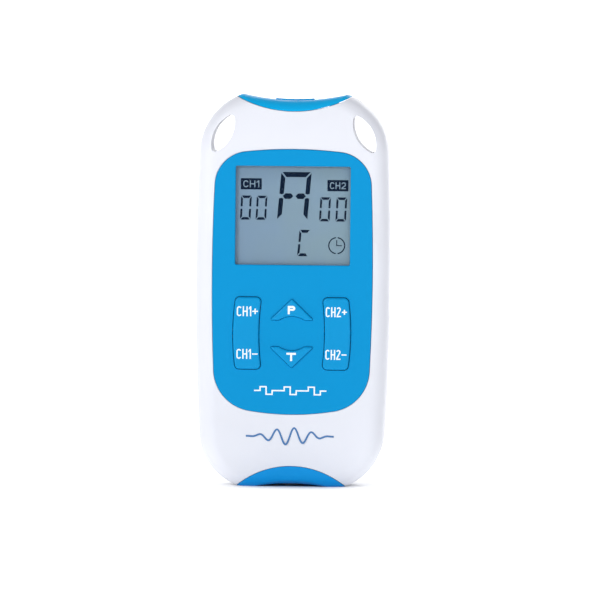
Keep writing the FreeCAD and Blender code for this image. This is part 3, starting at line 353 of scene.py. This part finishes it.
MATERIALS = {
    "shell": moulded_plastic("shell_white", WHITE_SHELL, 0.36),
    "clip": moulded_plastic("clip_white", CLIP_WHITE, 0.38),
    "fascia": moulded_plastic("fascia_blue", FASCIA_BLUE, 0.42, shine=0.1, mottle=0.012),
    "key": moulded_plastic("key_blue", KEY_BLUE, 0.38, shine=0.14, mottle=0.012),
    # Top cap: the caps' blue made lighter, painted light from above
    "top_cap": moulded_plastic("top_cap_blue_painted_light", TOP_BLUE_PAINTED_LIGHT, 0.38, shine=0.16),
    "bottom_cap": moulded_plastic("bottom_cap_blue", BOTTOM_BLUE, 0.38, shine=0.16),
    "black": moulded_plastic("moulded_black", (34, 35, 38), 0.45),
    "dark_chip": moulded_plastic("chip_black", (44, 44, 47), 0.6, grain=0.0002),
    "display": display_glass(),
    "lens": clear_lens(),
    "ink_dark": printed_ink("display_ink", LCD_INK, 0.5, shine=0.08),
    "ink_gap": printed_ink("display_gap", LCD_GAP, 0.4),
    "ink_white": printed_ink("label_white", PRINT_WHITE, 0.42),
    "ink_blue": printed_ink("mark_blue", PRINT_BLUE, 0.42),
    "silicone": rubbery("silicone_grey", (170, 176, 184), 0.5),
    "elastomer": rubbery("carbon_rubber", (34, 34, 35), 0.7),
    "gold": metal("gold_flash", (222, 184, 104), 0.25),
    "nickel": metal("nickel_plate", (206, 208, 212), 0.22),
    "spring": metal("spring_wire", (176, 179, 184), 0.3, (1, 1, 6)),
    "zinc": metal("zinc_screw", (150, 152, 158), 0.34),
    "can": metal("capacitor_can", (196, 198, 203), 0.3, (1, 6, 1)),
    "ferrite": rubbery("ferrite", (62, 62, 66), 0.75),
    "board": circuit_board(),
    "winding": winding(),
    "jacket": cell_jacket("cell_jacket", (44, 48, 57)),
    "band": cell_jacket("cell_band", (196, 118, 62)),
    "washer": rubbery("cell_washer", (224, 222, 212)),
}

FINISHES = {
    "shell": ("front_shell", "rear_shell", "battery_door"),
    "clip": ("belt_clip",),
    "fascia": ("fascia",),
    "key": ("ch1_rocker_key", "ch2_rocker_key", "program_key", "timer_key"),
    "top_cap": ("top_end_cap",),
    "bottom_cap": ("bottom_end_cap",),
    "lens": ("display_lens",),
    "display": ("lcd_cell",),
    "black": ("lcd_frame", "buzzer", "output_socket_ch1", "output_socket_ch2"),
    "elastomer": ("zebra_strips", "carbon_pills"),
    "silicone": ("keypad_mat",),
    "gold": ("key_contacts",),
    "board": ("main_board",),
    "dark_chip": ("microcontroller", "output_transistors", "chip_resistors"),
    "ferrite": ("transformer_cores", "boost_inductor"),
    "winding": ("transformer_coils",),
    "can": ("storage_capacitors",),
    "nickel": ("crystal", "battery_link_plate", "battery_terminals", "socket_pins", "socket_sleeves"),
    "jacket": ("battery_cell_left", "battery_cell_right"),
    "spring": ("battery_springs", "clip_hinge_pin", "clip_spring"),
    "zinc": ("case_screws", "board_screws"),
}


def finish_nodes():
    """Gives every CAD node its material."""
    for finish, names in FINISHES.items():
        for name in names:
            mesh = NODES[name].data
            mesh.materials.clear()
            mesh.materials.append(MATERIALS[finish])


# Pieces

def add_piece(name, mesh, finish, body):
    """A piece of the object, with its material and body."""
    piece = bpy.data.objects.new(name, mesh)
    bpy.context.scene.collection.objects.link(piece)
    mesh.materials.append(MATERIALS[finish])
    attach(piece, body)
    return piece


def film_mesh(name, outlines, front_y, thick):
    """Thin raised film: each outline of (x, z) points becomes a closed plate whose face is at front_y."""
    made = bmesh.new()
    for outline in outlines:
        front = [made.verts.new((x, front_y, z)) for x, z in outline]
        back = [made.verts.new((x, front_y + thick, z)) for x, z in outline]
        made.faces.new(front)
        made.faces.new(list(reversed(back)))
        for i in range(len(front)):
            j = (i + 1) % len(front)
            made.faces.new((front[i], back[i], back[j], front[j]))
    bmesh.ops.recalc_face_normals(made, faces=made.faces)
    bmesh.ops.triangulate(made, faces=made.faces)
    mesh = bpy.data.meshes.new(name)
    made.to_mesh(mesh)
    made.free()
    return mesh


def stroke(points, width):
    """Outline of a line of constant width through points, with mitred corners."""
    def normal(a, b):
        dx, dz = b[0] - a[0], b[1] - a[1]
        length = math.hypot(dx, dz)
        return (-dz / length, dx / length)

    left, right = [], []
    for i, point in enumerate(points):
        before = normal(points[i - 1], point) if i else None
        after = normal(point, points[i + 1]) if i < len(points) - 1 else None
        first = before or after
        second = after or before
        share = max(MITRE_LIMIT, 1 + first[0] * second[0] + first[1] * second[1])
        mitre = ((first[0] + second[0]) / share, (first[1] + second[1]) / share)
        left.append((point[0] + mitre[0] * width / 2, point[1] + mitre[1] * width / 2))
        right.append((point[0] - mitre[0] * width / 2, point[1] - mitre[1] * width / 2))
    return left + right[::-1]


def moved(outline, centre, slant=0.0):
    """An outline leant over by slant and moved to a centre."""
    return [(centre[0] + x + slant * z, centre[1] + z) for x, z in outline]


def bend(centre, radius, start, stop, steps=12):
    """Points along an arc between two angles in degrees, counted from +X towards +Z."""
    angles = [math.radians(start + (stop - start) * i / steps) for i in range(steps + 1)]
    return [(centre[0] + radius * math.cos(a), centre[1] + radius * math.sin(a)) for a in angles]


def rectangle(x, z):
    """Outline of a rectangle from two (low, high) pairs."""
    return [(x[0], z[0]), (x[1], z[0]), (x[1], z[1]), (x[0], z[1])]


# Lettering: plain capitals and signs, drawn from strokes of one width

def letter_c(w, h, line):
    """Two arcs joined by a straight back."""
    radius = (w - line) / 2
    top = bend((w / 2, h - line / 2 - radius), radius, 20, 180)
    bottom = bend((w / 2, line / 2 + radius), radius, 180, 340)
    return [stroke(top + bottom, line)]


def letter_h(w, h, line):
    """Two stems and a bar."""
    middle = (h / 2 - line / 2, h / 2 + line / 2)
    stems = [rectangle((0, line), (0, h)), rectangle((w - line, w), (0, h))]
    return stems + [rectangle((line, w - line), middle)]


def letter_p(w, h, line):
    """A stem and a round bowl."""
    radius = (0.58 * h - line) / 2
    middle = h - line / 2 - radius
    bowl = bend((w - line / 2 - radius, middle), radius, 90, -90)
    bowl = [(line, middle + radius)] + bowl + [(line, middle - radius)]
    return [rectangle((0, line), (0, h)), stroke(bowl, line)]


def letter_t(w, h, line):
    """A bar and a stem."""
    stem = ((w - line) / 2, (w + line) / 2)
    return [rectangle((0, w), (h - line, h)), rectangle(stem, (0, h - line))]


def figure_one(w, h, line):
    """A stem with a flag at its upper left."""
    flag = 0.79 * h
    stem = [(w - line, 0), (w, 0), (w, h), (w - line, h)]
    return [stem + [(0, flag), (0, flag - line), (w - line, 0.8 * h)]]


def figure_two(w, h, line):
    """A curve that runs down to a straight foot."""
    radius = (w - line) / 2
    curve = bend((w / 2, h - line / 2 - radius), radius, 165, -35)
    return [stroke(curve + [(0.55 * line, line)], line), rectangle((0, w), (0, line))]


def plus_sign(w, h, line):
    """A level bar with a short bar above it and another below."""
    centre = h / 2
    wide = ((w - line) / 2, (w + line) / 2)
    level = rectangle((0, w), (centre - line / 2, centre + line / 2))
    up = rectangle(wide, (centre + line / 2, centre + w / 2))
    down = rectangle(wide, (centre - w / 2, centre - line / 2))
    return [level, up, down]


def minus_sign(w, h, line):
    """A level bar."""
    return [rectangle((0, w), (h / 2 - line / 2, h / 2 + line / 2))]


# Each sign's drawing and its width, before the words are fitted
GLYPHS = {
    "C": (letter_c, 0.54), "H": (letter_h, 0.56), "P": (letter_p, 0.88), "T": (letter_t, 1.1),
    "1": (figure_one, 0.28), "2": (figure_two, 0.54), "+": (plus_sign, 0.62), "-": (minus_sign, 0.62),
}
GLYPH_GAP = 0.12


def lettering(words, centre, size, line):
    """Outlines of words fitted to a size (width, height) round a centre (x, z)."""
    natural = sum(GLYPHS[letter][1] for letter in words) + GLYPH_GAP * (len(words) - 1)
    unit = size[0] / natural
    x = centre[0] - size[0] / 2
    outlines = []
    for letter in words:
        draw, share = GLYPHS[letter]
        for outline in draw(share * unit, size[1], line):
            outlines.append(moved(outline, (x, centre[1] - size[1] / 2)))
        x += (share + GLYPH_GAP) * unit
    return outlines


# Display

def segments(size, bar, side, corner_gap, middle_gap):
    """The bars of one display figure, by letter: a at the top, then clockwise to f, and g in the middle."""
    def flipped(outline, across, up):
        return [(across * x, up * z) for x, z in outline]

    w, h = size[0] / 2, size[1] / 2
    level = [
        (-w + corner_gap, h), (w - corner_gap, h),
        (w - side - corner_gap, h - bar), (-w + side + corner_gap, h - bar),
    ]
    upright = [
        (w, h - corner_gap), (w, middle_gap), (w - side / 2, middle_gap * 0.7),
        (w - side, middle_gap), (w - side, h - bar - corner_gap),
    ]
    near, far = w - side * 0.8, middle_gap * 0.45
    thick = bar * 0.55
    lozenge = [(far, 0), (far + bar / 2, thick), (near - bar / 2, thick), (near, 0)]
    lozenge += [(near - bar / 2, -thick), (far + bar / 2, -thick)]
    return {
        "a": [level], "b": [upright], "c": [flipped(upright, 1, -1)], "d": [flipped(level, 1, -1)],
        "e": [flipped(upright, -1, -1)], "f": [flipped(upright, -1, 1)],
        "g": [lozenge, flipped(lozenge, -1, 1)],
    }


def figure(letters, centre, bars, slant):
    """Outlines of the lit bars of one figure."""
    return [moved(outline, centre, slant) for letter in letters for outline in bars[letter]]


def ring(centre, radius, line, start, stop, steps=24):
    """Part of a ring between two angles in degrees, counted from the top, clockwise."""
    angles = [math.radians(start + (stop - start) * i / steps) for i in range(steps + 1)]
    hole = radius - line
    outer = [(centre[0] + radius * math.sin(a), centre[1] + radius * math.cos(a)) for a in angles]
    inner = [(centre[0] + hole * math.sin(a), centre[1] + hole * math.cos(a)) for a in angles]
    return outer + inner[::-1]


def display_figures():
    """What the display shows: two channel tags, their levels, the mode, the setting and a clock."""
    low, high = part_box("lcd_cell")
    mid_x = (low.x + high.x) / 2
    mid_z = (low.z + high.z) / 2

    def at(x, z):
        return (mid_x + x * MM, mid_z + z * MM)

    inks = []
    level = segments(*LEVEL_STYLE)
    for x, z in LEVEL_PLACES:
        inks += figure("abcdef", at(x, z), level, LEVEL_SLANT)
    inks += figure("abcefg", at(*MODE_PLACE), segments(*MODE_STYLE), LETTER_SLANT)
    inks += figure("adef", at(*SETTING_PLACE), segments(*SETTING_STYLE), LETTER_SLANT)
    clock = at(*CLOCK_PLACE)
    for start in (0, 180):
        first = start + CLOCK_GAP_DEGREES
        last = start + 180 - CLOCK_GAP_DEGREES
        inks.append(ring(clock, CLOCK_RADIUS, CLOCK_LINE, first, last))
    hands = [(clock[0], clock[1] + LONG_HAND), clock, (clock[0] + SHORT_HAND, clock[1])]
    inks.append(stroke(hands, HAND_LINE))
    for _, x, z in TAG_PLACES:
        inks.append(rectangle(*[(c - half, c + half) for c, half in zip(at(x, z), TAG_HALF)]))
    mesh = film_mesh("display_segments", inks, low.y - FILM, FILM)
    add_piece("display_segments", mesh, "ink_dark", "housing")
    for words, x, z in TAG_PLACES:
        outlines = lettering(words, at(x, z), TAG_LETTERS, TAG_LINE)
        name = "display_tag_" + words.lower()
        mesh = film_mesh(name, outlines, low.y - 2 * FILM, FILM)
        add_piece(name, mesh, "ink_gap", "housing")


# Battery cells

def turned_mesh(name, profile, place, up, steps=48):
    """Closed body turned from (height, radius, finish) rows round a vertical axis.

    The heights count from place, upwards or downwards.
    Each row's finish covers the faces between it and the next row.
    """
    finishes = list(dict.fromkeys(row[2] for row in profile))
    made = bmesh.new()
    rings = []
    for height, radius, _ in profile:
        z = place.z + up * height
        count = steps if radius > 0 else 1
        angles = [2 * math.pi * i / steps for i in range(count)]
        around = [(place.x + radius * math.cos(a), place.y + radius * math.sin(a), z) for a in angles]
        rings.append([made.verts.new(point) for point in around])
    for row, (below, above) in enumerate(zip(rings, rings[1:])):
        for i in range(steps):
            j = (i + 1) % steps
            corners = [below[i % len(below)], below[j % len(below)]]
            corners += [above[j % len(above)], above[i % len(above)]]
            face = made.faces.new(list(dict.fromkeys(corners)))
            face.material_index = finishes.index(profile[row][2])
            face.smooth = True
    bmesh.ops.recalc_face_normals(made, faces=made.faces)
    mesh = bpy.data.meshes.new(name)
    made.to_mesh(mesh)
    made.free()
    mesh.set_sharp_from_angle(angle=math.radians(35))
    return mesh, finishes


def sign_outlines(sign, centre):
    """A plus or a minus, with its level bar in short runs that can follow a round jacket."""
    x, z = centre
    steps = [2 * i / SIGN_RUNS - 1 for i in range(SIGN_RUNS + 1)]
    level = stroke([(x + SIGN_REACH * step, z) for step in steps], 2 * SIGN_HALF)
    if sign == "minus":
        return [level]
    wide = (x - SIGN_HALF, x + SIGN_HALF)
    above = rectangle(wide, (z + SIGN_HALF, z + SIGN_REACH))
    below = rectangle(wide, (z - SIGN_REACH, z - SIGN_HALF))
    return [level, above, below]


def cell_profile(radius, tall):
    """A cell's rows for turned_mesh, from the middle of its flat end to the middle of its nub."""
    body = tall - CELL_NUB
    flat_end = ((0.0, 0.0), (0.0, 0.55 * radius), (CELL_DISH, 0.6 * radius))
    jacket = (
        (CELL_DISH, 0.8 * radius), (0.0, 0.84 * radius),
        (CELL_LIP, 0.94 * radius), (CELL_ROUND, radius),
    )
    band = (
        (body - CELL_BAND, radius), (body - CELL_ROUND, radius), (body - CELL_LIP, 0.94 * radius),
        (body, 0.86 * radius), (body, 0.8 * radius),
    )
    washer = ((body - CELL_RECESS, 0.78 * radius),)
    nub = (
        (body - CELL_RECESS, 0.4 * radius), (tall - NUB_EDGE, 0.385 * radius),
        (tall, 0.34 * radius), (tall, 0.0),
    )
    parts = (("nickel", flat_end), ("jacket", jacket), ("band", band), ("washer", washer), ("nickel", nub))
    return [(height, wide, finish) for finish, rows in parts for height, wide in rows]


def cell(node, up):
    """Battery cell whose nub points up (1) or down (-1), with a folded jacket, bare ends and two signs."""
    low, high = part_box(node)
    radius = (high.x - low.x) / 2
    tall = high.z - low.z
    middle = Vector(((low.x + high.x) / 2, (low.y + high.y) / 2, low.z if up > 0 else high.z))
    mesh, finishes = turned_mesh(node + "_body", cell_profile(radius, tall), middle, up)
    piece = add_piece(node + "_body", mesh, finishes[0], "housing")
    for finish in finishes[1:]:
        mesh.materials.append(MATERIALS[finish])
    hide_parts(node)
    for sign, rise in (("plus", tall - CELL_NUB - SIGN_RISE), ("minus", SIGN_RISE)):
        name = node + "_" + sign
        mark = film_mesh(name, sign_outlines(sign, (middle.x, middle.z + up * rise)), 0.0, 2 * INK)
        for v in mark.vertices:
            v.co.y += middle.y + math.sqrt(radius ** 2 - (v.co.x - middle.x) ** 2) - INK
        add_piece(name, mark, "ink_white", "housing")


# Printing

def print_on(name, outlines, node, finish, body):
    """Ink on a node's flat front face, with its back just under it."""
    mesh = film_mesh(name, outlines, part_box(node)[0].y - INK, 1.5 * INK)
    add_piece(name, mesh, finish, body)


def key_labels():
    """CH1 and CH2 with their signs on the rockers, and P and T on the arrow keys."""
    for number, side in (("1", -1), ("2", 1)):
        node = "ch" + number + "_rocker_key"
        body = "ch" + number + "_rocker"
        low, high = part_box(node)
        mid_z = (low.z + high.z) / 2
        for sign, word, rise in ROCKER_LABEL_RISES:
            place = (side * ROCKER_LABEL_X, mid_z + rise * MM)
            outlines = lettering("CH" + number + sign, place, ROCKER_LABEL_SIZE, ROCKER_LABEL_LINE)
            print_on("label_ch" + number + "_" + word, outlines, node, "ink_white", body)
    for letter, node, body, rise, width in ARROW_LABELS:
        low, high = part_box(node)
        place = (ARROW_LABEL_X, (low.z + high.z) / 2 + rise * MM)
        outlines = lettering(letter, place, (width * MM, ARROW_LABEL_HEIGHT), ARROW_LABEL_LINE)
        print_on("label_" + letter.lower(), outlines, node, "ink_white", body)


def pulse_line(step, height, count):
    """Points of a two-phase pulse train round the origin: flat, up, down, flat."""
    points = [(-step * 2 * count, 0)]
    for i in range(count):
        x = (4 * i - 2 * count + 1) * step
        points += [(x, 0), (x, height), (x + step, height), (x + step, -height)]
        points += [(x + 2 * step, -height), (x + 2 * step, 0)]
    points.append((step * 2 * count, 0))
    return points


def wave_line(half_length, height, waves, steps=96):
    """Points of a smooth wave that swells in the middle and dies away at both ends."""
    points = []
    for i in range(steps + 1):
        t = 2 * i / steps - 1
        swell = math.cos(math.pi * t / 2) ** 2
        points.append((t * half_length, height * swell * math.sin(math.pi * waves * t)))
    return points


def marks():
    """Plain wave marks where a maker's words would be."""
    fascia_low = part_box("fascia")[0].z
    pulse = stroke(pulse_line(PULSE_STEP, PULSE_HEIGHT, PULSE_COUNT), PULSE_LINE)
    outline = moved(pulse, (MARK_X, fascia_low + PULSE_RISE))
    print_on("fascia_mark", [outline], "fascia", "ink_white", "housing")
    wave = stroke(wave_line(WAVE_HALF, WAVE_HEIGHT, WAVE_COUNT), WAVE_LINE)
    outline = moved(wave, (MARK_X, fascia_low - WAVE_DROP))
    print_on("shell_mark", [outline], "front_shell", "ink_blue", "housing")


finish_nodes()
cell("battery_cell_left", 1)
cell("battery_cell_right", -1)
display_figures()
key_labels()
marks()


# Studio

CAMERA_AZIMUTH = 2.0
CAMERA_ELEVATION = 2.0
CAMERA_ROLL = 0.55
CAMERA_DISTANCE = 2.5
FRAME_WIDTH = 0.1814
SENSOR = 36.0
AIM = Vector((0.00068, -0.010, 0.0588))
SWEEP_HALF = 4.0
SWEEP_BEND = 1.2
BEND_STEPS = 16
WORLD_LIGHT = 0.42
LAMP_AIM = (0, 0, 0.06)

# The sweep's glow at two distances from the origin: weakest, strongest, and where each is reached
NEAR_GLOW = (0.0, 0.55, 0.016, 0.035)
FAR_GLOW = (0.0, 0.6, 0.3, 2.5)

# Each lamp's name, place, size and power
LAMPS = (
    ("key_light", (-1.3, -1.5, 1.0), 0.5, 16.5),
    ("fill_light", (0.9, -1.3, 0.3), 0.9, 2.2),
    ("rim_light", (0.8, 1.2, 1.2), 0.6, 3.5),
)


def add_camera():
    """Long lens a little above and to the right of the front."""
    data = bpy.data.cameras.new("camera")
    data.sensor_width = SENSOR
    data.lens = SENSOR * CAMERA_DISTANCE / FRAME_WIDTH
    data.clip_start = 0.01
    camera = bpy.data.objects.new("camera", data)
    bpy.context.scene.collection.objects.link(camera)
    azimuth = math.radians(CAMERA_AZIMUTH)
    elevation = math.radians(CAMERA_ELEVATION)
    level = math.cos(elevation)
    away = Vector((math.sin(azimuth) * level, -math.cos(azimuth) * level, math.sin(elevation)))
    turn = (-away).to_track_quat("-Z", "Y").to_matrix().to_4x4()
    roll = Matrix.Rotation(math.radians(CAMERA_ROLL), 4, "Z")
    camera.matrix_world = Matrix.Translation(AIM + away * CAMERA_DISTANCE) @ turn @ roll
    bpy.context.scene.camera = camera


def add_light(name, place, size, power):
    """Soft square lamp that faces the unit's middle."""
    data = bpy.data.lights.new(name, "AREA")
    data.size = size
    data.energy = power
    lamp = bpy.data.objects.new(name, data)
    bpy.context.scene.collection.objects.link(lamp)
    place = Vector(place)
    turn = (Vector(LAMP_AIM) - place).to_track_quat("-Z", "Y").to_matrix().to_4x4()
    lamp.matrix_world = Matrix.Translation(place) @ turn


def add_sweep():
    """White floor that curves up into a distant backdrop, and glows more the further it is from the unit."""
    angles = [math.radians(90 * i / BEND_STEPS) for i in range(BEND_STEPS + 1)]
    profile = [(-SWEEP_HALF, 0.0)]
    for a in angles:
        profile.append((SWEEP_HALF - SWEEP_BEND * (1 - math.sin(a)), SWEEP_BEND * (1 - math.cos(a))))
    profile.append((SWEEP_HALF, SWEEP_HALF))
    points = [(x, y, z) for y, z in profile for x in (-SWEEP_HALF, SWEEP_HALF)]
    faces = [(2 * i, 2 * i + 1, 2 * i + 3, 2 * i + 2) for i in range(len(profile) - 1)]
    mesh = bpy.data.meshes.new("sweep")
    mesh.from_pydata(points, [], faces)
    sweep = bpy.data.objects.new("sweep", mesh)
    bpy.context.scene.collection.objects.link(sweep)
    shader = Shader("sweep_white")
    dust = shader.noise(0.2)
    tint = shader.mixed(shader.ranged(dust, 0.0, 1.0), (0.93, 0.93, 0.93, 1), (0.95, 0.95, 0.95, 1))
    away = shader.node("ShaderNodeVectorMath", operation="LENGTH")
    shader.join(shader.place, away.inputs[0])
    glow = shader.node("ShaderNodeMath", operation="ADD")
    for span, socket in zip((NEAR_GLOW, FAR_GLOW), glow.inputs):
        shader.join(shader.ranged(away.outputs["Value"], *span), socket)
    shader.join(glow.outputs[0], shader.principled.inputs["Emission Strength"])
    shader.set(Roughness=0.9, Emission_Color=(1, 1, 1, 1), Specular_IOR_Level=0.0)
    mesh.materials.append(shader.paint(tint))


def add_world():
    """Even pale surroundings."""
    world = bpy.data.worlds.new("studio")
    world.use_nodes = True
    background = world.node_tree.nodes["Background"]
    background.inputs["Color"].default_value = (0.96, 0.97, 1.0, 1.0)
    background.inputs["Strength"].default_value = WORLD_LIGHT
    bpy.context.scene.world = world


add_camera()
add_sweep()
add_world()
for lamp in LAMPS:
    add_light(*lamp)
bpy.context.scene.view_settings.view_transform = "Standard"
